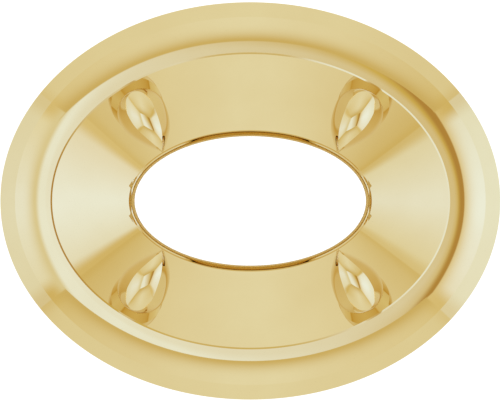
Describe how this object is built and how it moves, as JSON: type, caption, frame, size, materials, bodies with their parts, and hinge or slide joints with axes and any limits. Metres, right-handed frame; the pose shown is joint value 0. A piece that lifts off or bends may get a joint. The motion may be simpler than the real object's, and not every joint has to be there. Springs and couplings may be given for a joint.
{
  "type": "oval slide pendant mounting, unset",
  "caption": "Small polished gold oval frame with a sloped seat, claw prongs and a through opening, with a slide tunnel for a chain along its back.",
  "frame": {"origin": "middle of the flat foot on the back, under the centre of the oval", "axes": "+Z out of the face towards the viewer, X along the oval's long axis and the chain tunnel, +Y up as in the picture"},
  "size_m": [0.0098, 0.0078, 0.0031],
  "materials": {
    "polished_gold": "mirror-polished yellow gold"
  },
  "bodies": {
    "root": {"mounting": "polished_gold"}
  },
  "joints": []
}
